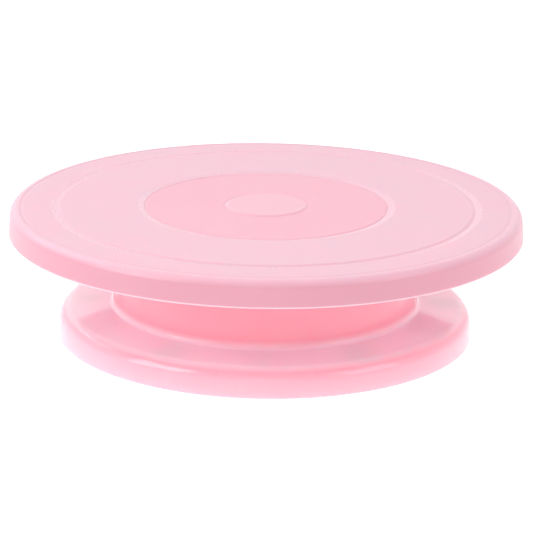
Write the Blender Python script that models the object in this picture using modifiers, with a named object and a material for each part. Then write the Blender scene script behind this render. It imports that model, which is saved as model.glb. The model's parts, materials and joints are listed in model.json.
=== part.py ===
"""Cake turntable: a round plate that turns on a ring of balls over a waisted, hollow base.

Metres, +Z up. The origin is on the turning axis, at the face that the foot pads stand on.
Every piece is turned about the Z axis or set out round it.
"""

import math

import bmesh
import bpy
from mathutils import Matrix

# ---- Overall sizes -------------------------------------------------------------------------
PLATE_RADIUS = 0.140         # at the lower end of the plate's edge round
BASE_RADIUS = 0.1138         # at the lower end of the flange's edge round
OVERALL_HEIGHT = 0.072
DRUM_FOOT_RADIUS = 0.084
DRUM_DRAFT = 0.0020          # how much narrower the drum is at its top

# ---- Clearances ----------------------------------------------------------------------------
SEAT_GAP = 0.0003            # between two faces that rest on each other
SPINDLE_CLEARANCE = 0.0004   # radial, spindle in its bore
BALL_CLEARANCE = 0.0003      # ball to its tracks and its pocket

# ---- Plate ---------------------------------------------------------------------------------
PLATE_WALL = 0.0026
SKIRT_DEPTH = 0.0142
SKIRT_WALL = 0.0024
SKIRT_DRAFT = 0.0008         # how far the skirt leans out over its depth, to leave its mould
RIM_ROUND = 0.0044           # edge round between the plate's top and its skirt
FIELD_RADIUS = 0.069         # middle of the step that ends the lower ring
FIELD_SLOPE = 0.0042         # width of that step
FIELD_DROP = 0.0006          # how far the ring between disc and step lies below the plate's top
OUTER_GROOVE_SETBACK = 0.0245    # from the plate's edge to the groove's middle
OUTER_GROOVE_WIDTH = 0.0058
GROOVE_DEPTH = 0.00045
RIM_LINE_SETBACK = 0.0065    # from the plate's edge to the fine line inside the edge round
RIM_LINE_WIDTH = 0.0016
RIM_LINE_DEPTH = 0.00035
CENTRE_RADIUS = 0.0215       # flat disc at the middle, level with the plate's top
CENTRE_SLOPE = 0.0014
RING_RIB_SETBACK = 0.0370    # from the plate's edge to the rib's middle
RING_RIB_DEPTH = 0.0040
PLATE_RIB_COUNT = 8
RIB_WALL = 0.0016
PLATE_RIB_DEPTH = 0.0055

# ---- Ball ring -----------------------------------------------------------------------------
BALL_RADIUS = 0.0030
BALL_COUNT = 20
TRACK_SETBACK = 0.0120       # flat of the deck outside the track rib
TRACK_RIB_HALF_WIDTH = 0.0060
TRACK_SPACE = 0.0018         # from a ball's centre to the face of each track rib
TRACK_ROOF = 0.0026          # plastic left over the plate's track
CAGE_SETBACK = 0.0012        # cage edge inside the track rib's side
CAGE_THICKNESS = 0.0020

# ---- Spindle and its fixing ----------------------------------------------------------------
SPINDLE_RADIUS = 0.0110
SPINDLE_WALL = 0.0026
SPINDLE_PROJECTION = 0.0005  # how far it stands out of the bore
BORE_DEPTH = 0.0080          # length of the bore's sleeve below the deck
BORE_WALL = 0.0026
SCREW_BOSS_RADIUS = 0.0054
SCREW_RADIUS = 0.0022
SCREW_LENGTH = 0.0140
SCREW_HEAD_RADIUS = 0.0045
SCREW_HEAD_HEIGHT = 0.0030
SCREW_HEAD_ROUND = 0.0014
SCREW_CROSS_LENGTH = 0.0052
SCREW_CROSS_WIDTH = 0.0010
SCREW_CROSS_DEPTH = 0.0016
WASHER_OVERLAP = 0.0022      # how far the washer covers the end of the bore's sleeve
WASHER_THICKNESS = 0.0015
WEB_COUNT = 4
WEB_WALL = 0.0014

# ---- Base ----------------------------------------------------------------------------------
BASE_WALL = 0.0024
DECK_TO_TRACK = 0.0040       # height of the track rib above the deck
DRUM_TOP_ROUND = 0.0020
DRUM_FILLET = 0.0025         # hollow curve where the drum meets the flange
FLANGE_HEIGHT = 0.0170       # top of the flange beside the drum
FLANGE_FALL = 0.0008         # how much lower it is at its edge round
FLANGE_ROUND = 0.0076
FLANGE_DRAFT = 0.0008        # how far the flange's side leans out over its height
RIM_CLEARANCE = 0.0008       # flange's lower edge above the table
DECK_RIB_COUNT = 8
DECK_RIB_DEPTH = 0.0070
FLANGE_RIBS_PER_PAD = 1
FLANGE_RIB_FOOT = 0.0030     # lower edge of the flange's ribs above the table

# ---- Foot pads -----------------------------------------------------------------------------
PAD_COUNT = 6
PAD_RADIUS = 0.0070
PAD_THICKNESS = 0.0020
PAD_CHAMFER = 0.0004
PAD_RECESS = 0.0010
PAD_BOSS_WALL = 0.0016

# ---- Facets --------------------------------------------------------------------------------
ROUND_STEPS = 40             # large turned pieces
SMALL_STEPS = 16             # washer, screw, pads
BALL_STEPS = 10
BALL_RINGS = 6
EDGE_STEPS = 3               # across a quarter round
TRACK_STEPS = 3

# ---- Places worked out from the sizes above ------------------------------------------------
PLATE_TOP = OVERALL_HEIGHT
PLATE_UNDER = PLATE_TOP - PLATE_WALL
SKIRT_END = PLATE_TOP - SKIRT_DEPTH
SKIRT_INSIDE = PLATE_RADIUS - SKIRT_WALL
TRACK_GROOVE = BALL_RADIUS + BALL_CLEARANCE
FIELD_TOP = PLATE_TOP - FIELD_DROP
BALL_Z = FIELD_TOP - TRACK_ROOF - TRACK_GROOVE
UPPER_TRACK_Z = BALL_Z + TRACK_SPACE
LOWER_TRACK_Z = BALL_Z - TRACK_SPACE
DECK_TOP = LOWER_TRACK_Z - DECK_TO_TRACK
DECK_UNDER = DECK_TOP - BASE_WALL
BORE_RADIUS = SPINDLE_RADIUS + SPINDLE_CLEARANCE
SLEEVE_RADIUS = BORE_RADIUS + BORE_WALL
SLEEVE_END = DECK_UNDER - BORE_DEPTH
SPINDLE_END = SLEEVE_END - SPINDLE_PROJECTION
WASHER_TOP = SPINDLE_END - SEAT_GAP
WASHER_UNDER = WASHER_TOP - WASHER_THICKNESS
SCREW_HEAD_TOP = WASHER_UNDER - SEAT_GAP
PILOT_RADIUS = SCREW_RADIUS + SEAT_GAP
DRUM_TOP_RADIUS = DRUM_FOOT_RADIUS - DRUM_DRAFT
TRACK_RADIUS = DRUM_TOP_RADIUS - DRUM_TOP_ROUND - TRACK_SETBACK - TRACK_RIB_HALF_WIDTH
OUTER_GROOVE_RADIUS = PLATE_RADIUS - OUTER_GROOVE_SETBACK
RIM_LINE_RADIUS = PLATE_RADIUS - RIM_LINE_SETBACK
RING_RIB_RADIUS = PLATE_RADIUS - RING_RIB_SETBACK
FLANGE_FLAT_START = DRUM_FOOT_RADIUS + DRUM_FILLET
DRUM_START = FLANGE_HEIGHT + DRUM_FILLET
PAD_RING_RADIUS = (FLANGE_FLAT_START + BASE_RADIUS - BASE_WALL) / 2
FLANGE_EDGE_HEIGHT = FLANGE_HEIGHT - FLANGE_FALL
PAD_SEAT_Z = PAD_THICKNESS + SEAT_GAP
PAD_BOSS_Z = PAD_SEAT_Z - PAD_RECESS
PAD_RECESS_RADIUS = PAD_RADIUS + SEAT_GAP
BURIED = 0.0008              # how far a rib runs into the wall that it joins
CAGE_HALF_WIDTH = TRACK_RIB_HALF_WIDTH - CAGE_SETBACK


def start_empty():
    """Removes the scene's objects and makes the two collections."""
    for obj in list(bpy.data.objects):
        bpy.data.objects.remove(obj, do_unlink=True)
    made = []
    for name in ("cake_turntable", "joined_shapes"):
        collection = bpy.data.collections.new(name)
        bpy.context.scene.collection.children.link(collection)
        made.append(collection)
    return made


def plastic(name, rgb, roughness, metallic=0.0):
    """A Principled BSDF of one colour."""
    material = bpy.data.materials.new(name)
    material.use_nodes = True
    shader = material.node_tree.nodes["Principled BSDF"]
    shader.inputs["Base Color"].default_value = (*rgb, 1.0)
    shader.inputs["Roughness"].default_value = roughness
    shader.inputs["Metallic"].default_value = metallic
    return material


PARTS, JOINED = start_empty()
PLATE_PINK = plastic("matt_pink_polypropylene", (0.93, 0.55, 0.64), 0.45)
BASE_PINK = plastic("gloss_pink_polypropylene", (0.94, 0.48, 0.57), 0.18)
CAGE_WHITE = plastic("natural_acetal", (0.86, 0.85, 0.82), 0.4)
BALL_STEEL = plastic("polished_steel", (0.72, 0.73, 0.74), 0.12, 1.0)
ZINC_STEEL = plastic("zinc_plated_steel", (0.66, 0.67, 0.69), 0.3, 1.0)
PAD_RUBBER = plastic("grey_rubber", (0.62, 0.62, 0.63), 0.85)


# ---- Small tools ---------------------------------------------------------------------------
def arc(centre_r, centre_z, radius, start, end, steps):
    """Points of a circular arc in the profile plane; angles in degrees, 0 outwards, 90 up."""
    points = []
    for i in range(steps + 1):
        angle = math.radians(start + (end - start) * i / steps)
        points.append((centre_r + radius * math.cos(angle), centre_z + radius * math.sin(angle)))
    return points


def new_object(name, mesh, collection, material=None):
    obj = bpy.data.objects.new(name, mesh)
    if material:
        mesh.materials.append(material)
    collection.objects.link(obj)
    return obj


def shade(obj):
    """Smooth round faces with sharp corners kept."""
    obj.data.shade_smooth()
    obj.data.set_sharp_from_angle(angle=math.radians(35))


def turned(name, profile, steps, closed, collection, material=None):
    """A profile of (radius, height) points turned about Z. A closed one makes a ring."""
    mesh = bpy.data.meshes.new(name)
    edges = [(i, i + 1) for i in range(len(profile) - 1)]
    if closed:
        edges.append((len(profile) - 1, 0))
    mesh.from_pydata([(r, 0.0, z) for r, z in profile], edges, [])
    obj = new_object(name, mesh, collection, material)
    screw = obj.modifiers.new("turn", "SCREW")
    screw.axis = "Z"
    screw.angle = math.tau
    screw.steps = screw.render_steps = steps
    screw.use_merge_vertices = True
    screw.merge_threshold = 0.00001
    screw.use_smooth_shade = False
    return obj


def settled(obj):
    """The same object with its modifiers built into its mesh, so that it can be joined or cut."""
    graph = bpy.context.evaluated_depsgraph_get()
    mesh = bpy.data.meshes.new_from_object(obj.evaluated_get(graph))
    obj.modifiers.clear()
    obj.data = mesh
    return obj


def helper(name, mesh):
    """An object that only joins or cuts another one."""
    obj = new_object(name, mesh, JOINED)
    obj.hide_render = True
    obj.display_type = "WIRE"
    return obj


def combine(obj, other, operation):
    """Joins another mesh to obj or cuts it away, and builds the result in."""
    modifier = obj.modifiers.new(other.name, "BOOLEAN")
    modifier.operation = operation
    modifier.object = other
    modifier.solver = "EXACT"
    return settled(obj)


def half_pitch(count):
    """The angle that sets a ring of pieces half a pitch round, so that none lies on the X axis."""
    return math.tau / count / 2


def placed_round(bm, first_vertex, angle):
    """Turns the vertices added since first_vertex about Z."""
    bm.verts.ensure_lookup_table()
    turn = Matrix.Rotation(angle, 3, "Z")
    bmesh.ops.rotate(bm, cent=(0, 0, 0), matrix=turn, verts=bm.verts[first_vertex:])


def rib_ring(name, count, first_angle, inner, outer, low, high, wall):
    """Flat radial ribs, set out evenly round the axis, as one helper mesh."""
    bm = bmesh.new()
    for i in range(count):
        start = len(bm.verts)
        bmesh.ops.create_cube(bm, size=1.0)
        bm.verts.ensure_lookup_table()
        for vertex in bm.verts[start:]:
            vertex.co.x = inner if vertex.co.x < 0 else outer
            vertex.co.y *= wall
            vertex.co.z = low if vertex.co.z < 0 else high
        placed_round(bm, start, first_angle + math.tau * i / count)
    mesh = bpy.data.meshes.new(name)
    bm.to_mesh(mesh)
    bm.free()
    return helper(name, mesh)


def post_ring(name, count, first_angle, ring_radius, post_radius, low, high, steps):
    """Round posts, set out evenly round the axis, as one helper mesh."""
    bm = bmesh.new()
    for i in range(count):
        start = len(bm.verts)
        bmesh.ops.create_cone(
            bm, cap_ends=True, segments=steps, radius1=post_radius, radius2=post_radius, depth=high - low
        )
        bm.verts.ensure_lookup_table()
        bmesh.ops.translate(bm, vec=(ring_radius, 0, (low + high) / 2), verts=bm.verts[start:])
        placed_round(bm, start, first_angle + math.tau * i / count)
    mesh = bpy.data.meshes.new(name)
    bm.to_mesh(mesh)
    bm.free()
    return helper(name, mesh)


def shallow_groove(radius, width, depth, face_z):
    """A shallow groove with a flat floor and sloped sides, from its inner lip to its outer one."""
    half = width / 2
    return [
        (radius - half, face_z),
        (radius - half / 3, face_z - depth),
        (radius + half / 3, face_z - depth),
        (radius + half, face_z),
    ]


def track(side):
    """Points across a ball track at TRACK_RADIUS; side is 1 for the plate's, -1 for the base's."""
    lip = math.degrees(math.asin(TRACK_SPACE / TRACK_GROOVE))
    if side > 0:
        return arc(TRACK_RADIUS, BALL_Z, TRACK_GROOVE, lip, 180 - lip, TRACK_STEPS)
    return arc(TRACK_RADIUS, BALL_Z, TRACK_GROOVE, 180 + lip, 360 - lip, TRACK_STEPS)


# ---- The plate -----------------------------------------------------------------------------
def plate_top_profile():
    """The plate's face from the axis out to the start of the skirt."""
    half_line = RIM_LINE_WIDTH / 2
    points = [
        (0.0, PLATE_TOP),
        (CENTRE_RADIUS - CENTRE_SLOPE, PLATE_TOP),
        (CENTRE_RADIUS, FIELD_TOP),
        (FIELD_RADIUS - FIELD_SLOPE / 2, FIELD_TOP),
        (FIELD_RADIUS + FIELD_SLOPE / 2, PLATE_TOP),
    ]
    points += shallow_groove(OUTER_GROOVE_RADIUS, OUTER_GROOVE_WIDTH, GROOVE_DEPTH, PLATE_TOP)
    points += [
        (RIM_LINE_RADIUS - half_line, PLATE_TOP),
        (RIM_LINE_RADIUS, PLATE_TOP - RIM_LINE_DEPTH),
        (RIM_LINE_RADIUS + half_line, PLATE_TOP),
    ]
    return points + arc(PLATE_RADIUS - RIM_ROUND, PLATE_TOP - RIM_ROUND, RIM_ROUND, 90, 0, EDGE_STEPS)


def skirt_profile():
    """The skirt's lower edge and its inner face, up to the plate's underside."""
    edge = PLATE_RADIUS + SKIRT_DRAFT
    edge_round = SKIRT_WALL / 3
    return [
        (edge, SKIRT_END + edge_round),
        (edge - edge_round, SKIRT_END),
        (edge - SKIRT_WALL, SKIRT_END),
        (SKIRT_INSIDE, PLATE_UNDER - SKIRT_WALL),
        (SKIRT_INSIDE - SKIRT_WALL, PLATE_UNDER),
    ]


def plate_under_profile():
    """The plate's underside from its ring rib in to the axis."""
    rib_out = RING_RIB_RADIUS + RIB_WALL / 2
    rib_in = RING_RIB_RADIUS - RIB_WALL / 2
    rib_low = PLATE_UNDER - RING_RIB_DEPTH
    points = [
        (rib_out, PLATE_UNDER),
        (rib_out, rib_low),
        (rib_in, rib_low),
        (rib_in, PLATE_UNDER),
        (TRACK_RADIUS + TRACK_RIB_HALF_WIDTH, PLATE_UNDER),
        (TRACK_RADIUS + TRACK_RIB_HALF_WIDTH, UPPER_TRACK_Z),
    ]
    points += track(1)
    points += [
        (TRACK_RADIUS - TRACK_RIB_HALF_WIDTH, UPPER_TRACK_Z),
        (TRACK_RADIUS - TRACK_RIB_HALF_WIDTH, PLATE_UNDER),
        (SPINDLE_RADIUS, PLATE_UNDER),
        (SPINDLE_RADIUS, SPINDLE_END),
        (SPINDLE_RADIUS - SPINDLE_WALL, SPINDLE_END),
        (SPINDLE_RADIUS - SPINDLE_WALL, PLATE_UNDER),
        (SCREW_BOSS_RADIUS, PLATE_UNDER),
        (SCREW_BOSS_RADIUS, SPINDLE_END),
        (PILOT_RADIUS, SPINDLE_END),
        (PILOT_RADIUS, SCREW_HEAD_TOP + SCREW_LENGTH + SEAT_GAP),
        (0.0, SCREW_HEAD_TOP + SCREW_LENGTH + SEAT_GAP),
    ]
    return points


def make_plate():
    profile = plate_top_profile() + skirt_profile() + plate_under_profile()
    plate = settled(turned("turntable_plate", profile, ROUND_STEPS, False, PARTS, PLATE_PINK))
    ribs_low = PLATE_UNDER - PLATE_RIB_DEPTH
    ribs_high = PLATE_UNDER + BURIED
    track_in = TRACK_RADIUS - TRACK_RIB_HALF_WIDTH
    track_out = TRACK_RADIUS + TRACK_RIB_HALF_WIDTH
    outer = rib_ring(
        "plate_outer_ribs",
        PLATE_RIB_COUNT,
        half_pitch(PLATE_RIB_COUNT),
        track_out - BURIED,
        SKIRT_INSIDE + BURIED,
        ribs_low,
        ribs_high,
        RIB_WALL,
    )
    inner = rib_ring(
        "plate_inner_ribs",
        PLATE_RIB_COUNT,
        half_pitch(PLATE_RIB_COUNT),
        SPINDLE_RADIUS - BURIED,
        track_in + BURIED,
        ribs_low,
        ribs_high,
        RIB_WALL,
    )
    webs = rib_ring(
        "spindle_webs",
        WEB_COUNT,
        half_pitch(WEB_COUNT),
        SCREW_BOSS_RADIUS - BURIED,
        SPINDLE_RADIUS - SPINDLE_WALL + BURIED,
        SPINDLE_END + BURIED,
        ribs_high,
        WEB_WALL,
    )
    for ring in (outer, inner, webs):
        combine(plate, ring, "UNION")
    shade(plate)
    return plate


# ---- The base ------------------------------------------------------------------------------
def flange_round(radius, steps):
    """The flange's edge round, or a curve inside it with the same centre, from its top outwards."""
    return arc(BASE_RADIUS - FLANGE_ROUND, FLANGE_EDGE_HEIGHT - FLANGE_ROUND, radius, 90, 0, steps)


def foot_profile():
    """The flange: its face from the drum's foot out to the lower edge, then back up one wall inside."""
    points = arc(FLANGE_FLAT_START, DRUM_START, DRUM_FILLET, 180, 270, EDGE_STEPS)
    points += flange_round(FLANGE_ROUND, EDGE_STEPS + 1)
    points.append((BASE_RADIUS + FLANGE_DRAFT, RIM_CLEARANCE))
    points.append((BASE_RADIUS + FLANGE_DRAFT - BASE_WALL, RIM_CLEARANCE))
    points += reversed(flange_round(FLANGE_ROUND - BASE_WALL, EDGE_STEPS))
    return points + arc(FLANGE_FLAT_START, DRUM_START, DRUM_FILLET + BASE_WALL, 270, 180, EDGE_STEPS)


def deck_profile():
    """The deck's face with the lower ball track, then its underside and the sleeve round the bore."""
    track_in = TRACK_RADIUS - TRACK_RIB_HALF_WIDTH
    track_out = TRACK_RADIUS + TRACK_RIB_HALF_WIDTH
    deck_edge = DRUM_TOP_RADIUS - DRUM_TOP_ROUND
    channel_roof = BALL_Z - TRACK_GROOVE - BASE_WALL
    points = [(BORE_RADIUS, DECK_TOP), (track_in, DECK_TOP), (track_in, LOWER_TRACK_Z)]
    points += track(-1)
    points += [(track_out, LOWER_TRACK_Z), (track_out, DECK_TOP)]
    points += arc(deck_edge, DECK_TOP - DRUM_TOP_ROUND, DRUM_TOP_ROUND, 90, 0, EDGE_STEPS)
    points += [
        (DRUM_TOP_RADIUS, DECK_UNDER),
        (track_out - BASE_WALL, DECK_UNDER),
        (track_out - BASE_WALL, channel_roof),
        (track_in + BASE_WALL, channel_roof),
        (track_in + BASE_WALL, DECK_UNDER),
        (SLEEVE_RADIUS, DECK_UNDER),
        (SLEEVE_RADIUS, SLEEVE_END),
        (BORE_RADIUS, SLEEVE_END),
    ]
    return points


def make_flange_ribs():
    """Ribs under the flange, between the foot pads, ending inside the wall of the edge round."""
    count = PAD_COUNT * FLANGE_RIBS_PER_PAD
    inner = FLANGE_FLAT_START
    roof = FLANGE_EDGE_HEIGHT - BASE_WALL + BURIED
    ribs = rib_ring(
        "flange_ribs", count, half_pitch(count), inner, BASE_RADIUS, FLANGE_RIB_FOOT, roof, RIB_WALL
    )
    middle = flange_round(FLANGE_ROUND - BASE_WALL / 2, EDGE_STEPS)
    edge = BASE_RADIUS - BASE_WALL / 2
    profile = [(inner - RIB_WALL, middle[0][1])] + middle + [(edge, 0.0), (inner - RIB_WALL, 0.0)]
    core = settled(turned("flange_core", profile, ROUND_STEPS, True, JOINED))
    core.hide_render = True
    core.display_type = "WIRE"
    return combine(ribs, core, "INTERSECT")


def make_foot():
    foot = settled(turned("base_foot", foot_profile(), ROUND_STEPS, True, PARTS, BASE_PINK))
    combine(foot, make_flange_ribs(), "UNION")
    roof = FLANGE_EDGE_HEIGHT - BASE_WALL + BURIED
    boss_radius = PAD_RECESS_RADIUS + PAD_BOSS_WALL
    bosses = post_ring(
        "pad_bosses", PAD_COUNT, 0.0, PAD_RING_RADIUS, boss_radius, PAD_BOSS_Z, roof, SMALL_STEPS
    )
    combine(foot, bosses, "UNION")
    recesses = post_ring(
        "pad_recesses", PAD_COUNT, 0.0, PAD_RING_RADIUS, PAD_RECESS_RADIUS, 0.0, PAD_SEAT_Z, SMALL_STEPS
    )
    combine(foot, recesses, "DIFFERENCE")
    shade(foot)


def make_drum():
    profile = [
        (DRUM_TOP_RADIUS, DECK_UNDER - SEAT_GAP),
        (DRUM_FOOT_RADIUS, DRUM_START + SEAT_GAP),
        (DRUM_FOOT_RADIUS - BASE_WALL, DRUM_START + SEAT_GAP),
        (DRUM_TOP_RADIUS - BASE_WALL, DECK_UNDER - SEAT_GAP),
    ]
    shade(settled(turned("base_drum", profile, ROUND_STEPS, True, PARTS, BASE_PINK)))


def make_deck():
    deck = settled(turned("bearing_deck", deck_profile(), ROUND_STEPS, True, PARTS, BASE_PINK))
    ribs = rib_ring(
        "deck_ribs",
        DECK_RIB_COUNT,
        half_pitch(DECK_RIB_COUNT),
        SLEEVE_RADIUS - BURIED,
        DRUM_TOP_RADIUS - BASE_WALL - SEAT_GAP,
        DECK_UNDER - DECK_RIB_DEPTH,
        DECK_UNDER + BURIED,
        RIB_WALL,
    )
    combine(deck, ribs, "UNION")
    shade(deck)


# ---- The ball ring -------------------------------------------------------------------------
def make_cage():
    inside = TRACK_RADIUS - CAGE_HALF_WIDTH
    outside = TRACK_RADIUS + CAGE_HALF_WIDTH
    high = BALL_Z + CAGE_THICKNESS / 2
    low = BALL_Z - CAGE_THICKNESS / 2
    profile = [(inside, high), (outside, high), (outside, low), (inside, low)]
    cage = settled(turned("ball_cage", profile, ROUND_STEPS, True, PARTS, CAGE_WHITE))
    pockets = post_ring(
        "ball_pockets",
        BALL_COUNT,
        0.0,
        TRACK_RADIUS,
        BALL_RADIUS + BALL_CLEARANCE,
        low - CAGE_THICKNESS,
        high + CAGE_THICKNESS,
        BALL_STEPS,
    )
    combine(cage, pockets, "DIFFERENCE")
    shade(cage)
    return cage


def make_balls():
    bpy.ops.mesh.primitive_uv_sphere_add(segments=BALL_STEPS, ring_count=BALL_RINGS, radius=BALL_RADIUS)
    pattern = bpy.context.object
    mesh = pattern.data
    mesh.name = "bearing_ball"
    mesh.materials.append(BALL_STEEL)
    mesh.shade_smooth()
    bpy.data.objects.remove(pattern)
    for i in range(BALL_COUNT):
        ball = new_object(f"bearing_ball_{i + 1:02d}", mesh, PARTS)
        angle = math.tau * i / BALL_COUNT
        ball.location = (TRACK_RADIUS * math.cos(angle), TRACK_RADIUS * math.sin(angle), BALL_Z)
        ball.rotation_euler = (0, 0, angle)


# ---- The spindle's fixing ------------------------------------------------------------------
def make_washer():
    edge = WASHER_THICKNESS / 4
    outside = BORE_RADIUS + WASHER_OVERLAP
    hole = SCREW_RADIUS + SEAT_GAP
    profile = [
        (hole, WASHER_TOP),
        (outside - edge, WASHER_TOP),
        (outside, WASHER_TOP - edge),
        (outside, WASHER_UNDER + edge),
        (outside - edge, WASHER_UNDER),
        (hole, WASHER_UNDER),
    ]
    return turned("retaining_washer", profile, SMALL_STEPS, True, PARTS, ZINC_STEEL)


def make_screw():
    head_under = SCREW_HEAD_TOP - SCREW_HEAD_HEIGHT
    tip = SCREW_HEAD_TOP + SCREW_LENGTH
    tip_chamfer = SCREW_RADIUS / 2
    profile = [
        (0.0, tip),
        (SCREW_RADIUS - tip_chamfer, tip),
        (SCREW_RADIUS, tip - tip_chamfer),
        (SCREW_RADIUS, SCREW_HEAD_TOP),
        (SCREW_HEAD_RADIUS, SCREW_HEAD_TOP),
    ]
    profile += arc(
        SCREW_HEAD_RADIUS - SCREW_HEAD_ROUND, head_under + SCREW_HEAD_ROUND, SCREW_HEAD_ROUND, 0, -90, 3
    )
    profile.append((0.0, head_under))
    screw = settled(turned("retaining_screw", profile, SMALL_STEPS, False, PARTS, ZINC_STEEL))
    half = SCREW_CROSS_LENGTH / 2
    for name, angle in (("cross_slot_a", 0.0), ("cross_slot_b", math.pi / 2)):
        slot = rib_ring(
            name, 1, angle, -half, half, head_under - SCREW_CROSS_DEPTH, head_under + SCREW_CROSS_DEPTH,
            SCREW_CROSS_WIDTH,
        )
        combine(screw, slot, "DIFFERENCE")
    shade(screw)
    return screw


# ---- The foot pads -------------------------------------------------------------------------
def make_pads():
    profile = [
        (0.0, PAD_THICKNESS),
        (PAD_RADIUS, PAD_THICKNESS),
        (PAD_RADIUS, PAD_CHAMFER),
        (PAD_RADIUS - PAD_CHAMFER, 0.0),
        (0.0, 0.0),
    ]
    for i in range(PAD_COUNT):
        pad = turned(f"foot_pad_{i + 1}", profile, SMALL_STEPS, False, PARTS, PAD_RUBBER)
        angle = math.tau * i / PAD_COUNT
        pad.location = (PAD_RING_RADIUS * math.cos(angle), PAD_RING_RADIUS * math.sin(angle), 0.0)


make_plate()
make_foot()
make_drum()
make_deck()
make_cage()
make_balls()
make_washer()
make_screw()
make_pads()
JOINED.hide_render = True
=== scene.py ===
# %% [markdown]
# # A cake turntable, drawn in fine detail
#
# A cake turntable is a wide round plate that spins on a ring of small steel balls over a hollow
# base. Its two big pieces are moulded from one pale pink resin: the plate with a satin face, the
# base glossy. Nearly every piece here is a path of (radius, height) points carried round one
# axis, so most of this lesson is about drawing good paths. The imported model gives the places, and
# the code adds the fine shape.

# %% Load the fixed model
import json
import math

import bmesh
import bpy
import numpy as np
from mathutils import Matrix, Vector


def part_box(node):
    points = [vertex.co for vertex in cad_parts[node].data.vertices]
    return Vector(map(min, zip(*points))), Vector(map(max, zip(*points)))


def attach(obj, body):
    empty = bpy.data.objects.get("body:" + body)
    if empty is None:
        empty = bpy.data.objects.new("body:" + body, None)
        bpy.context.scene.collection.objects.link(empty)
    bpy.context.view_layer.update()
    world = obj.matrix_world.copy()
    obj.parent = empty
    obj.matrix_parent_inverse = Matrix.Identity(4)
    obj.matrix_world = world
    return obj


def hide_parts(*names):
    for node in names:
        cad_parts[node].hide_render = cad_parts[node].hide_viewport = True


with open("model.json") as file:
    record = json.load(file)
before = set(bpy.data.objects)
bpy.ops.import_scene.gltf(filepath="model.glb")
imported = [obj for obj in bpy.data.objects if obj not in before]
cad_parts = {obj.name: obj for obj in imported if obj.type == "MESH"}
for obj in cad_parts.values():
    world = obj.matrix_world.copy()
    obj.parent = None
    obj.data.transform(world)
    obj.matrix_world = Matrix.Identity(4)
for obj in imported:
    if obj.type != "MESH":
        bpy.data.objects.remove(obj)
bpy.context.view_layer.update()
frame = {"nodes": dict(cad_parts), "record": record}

# %% [markdown]
# ## Sizes
#
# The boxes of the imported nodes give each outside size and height. What a box can't give, such as
# a wall or a round, is a size that a mould maker would choose, in millimetres. Keeping the two
# apart shows which numbers follow the model and which are a matter of finish. The skirt and the
# flange's edge lean out towards their lower ends, so that they leave their moulds. A box takes in
# that lean, so it is taken off again to find the radius at the edge round.

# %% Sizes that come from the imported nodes
MM = 0.001
plate_low, plate_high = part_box("turntable_plate")
foot_low, foot_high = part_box("base_foot")
drum_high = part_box("base_drum")[1]
deck_low, deck_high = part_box("bearing_deck")
cage_low, cage_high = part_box("ball_cage")
ball_low, ball_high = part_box("bearing_ball_01")
washer_low, washer_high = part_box("retaining_washer")
screw_low, screw_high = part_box("retaining_screw")
pad_low, pad_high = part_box("foot_pad_1")
ball_nodes = sorted(name for name in frame["nodes"] if name.startswith("bearing_ball_"))
pad_nodes = sorted(name for name in frame["nodes"] if name.startswith("foot_pad_"))

LEAN = 0.8 * MM
PLATE_RADIUS = plate_high[0] - LEAN
PLATE_TOP = plate_high[2]
SPINDLE_END = plate_low[2]
BALL_RADIUS = (ball_high[2] - ball_low[2]) / 2
TRACK_RADIUS = (ball_high[0] + ball_low[0]) / 2
BALL_Z = (ball_high[2] + ball_low[2]) / 2
FOOT_RADIUS = foot_high[0] - LEAN
FOOT_LOW = foot_low[2]
DRUM_FOOT = drum_high[0]
DECK_EDGE = deck_high[0]
SLEEVE_END = deck_low[2]
TRACK_FACE = deck_high[2]
PAD_RING = (pad_high[0] + pad_low[0]) / 2
PAD_RADIUS = (pad_high[0] - pad_low[0]) / 2
PAD_TOP = pad_high[2]
print("plate radius %.1f mm, foot radius %.1f mm" % (PLATE_RADIUS / MM, FOOT_RADIUS / MM))
print("ball centres at radius %.1f mm, height %.1f mm" % (TRACK_RADIUS / MM, BALL_Z / MM))
print(len(ball_nodes), "balls and", len(pad_nodes), "pads")

# %% Sizes that a mould maker chooses
PLATE_WALL = 2.6 * MM
SKIRT_DEPTH = 14.2 * MM
SKIRT_WALL = 2.4 * MM
EDGE_ROUND = 4.4 * MM
FIELD_DROP = 0.6 * MM
TRACK_SPACE = 1.8 * MM
TRACK_GROOVE = 3.3 * MM
TRACK_LIP = 3.2 * MM
TRACK_HALF = 6.0 * MM
SPINDLE_RADIUS = 11.0 * MM
SPINDLE_WALL = 2.6 * MM
BOSS_RADIUS = 5.4 * MM
PILOT_RADIUS = 2.5 * MM
BORE_RADIUS = 11.4 * MM
BORE_WALL = 2.6 * MM
BASE_WALL = 2.4 * MM
FLANGE_TOP = 17.0 * MM
FLANGE_ROUND = 7.6 * MM
DRUM_FILLET = 2.5 * MM
RIB_WALL = 1.6 * MM
RIB_WELD = 0.8 * MM
PLATE_UNDER = PLATE_TOP - PLATE_WALL
SKIRT_END = PLATE_TOP - SKIRT_DEPTH
DECK_TOP = TRACK_FACE - 4.0 * MM
DECK_UNDER = DECK_TOP - BASE_WALL
print("skirt ends at %.1f mm, deck top at %.1f mm" % (SKIRT_END / MM, DECK_TOP / MM))

# %% [markdown]
# ## Paths
#
# A moulded corner is never sharp: it is an arc that touches both of its sides. The path could be
# drawn by hand and bevelled, but then every round has to be set again when a size changes. So a
# path is written as its corners, each with its own round, and one function puts the true arcs in.
# A second one adds points on the straight stretches, with one very close to each end, so that the
# smooth shading of a round doesn't bleed over the flat beside it.

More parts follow.
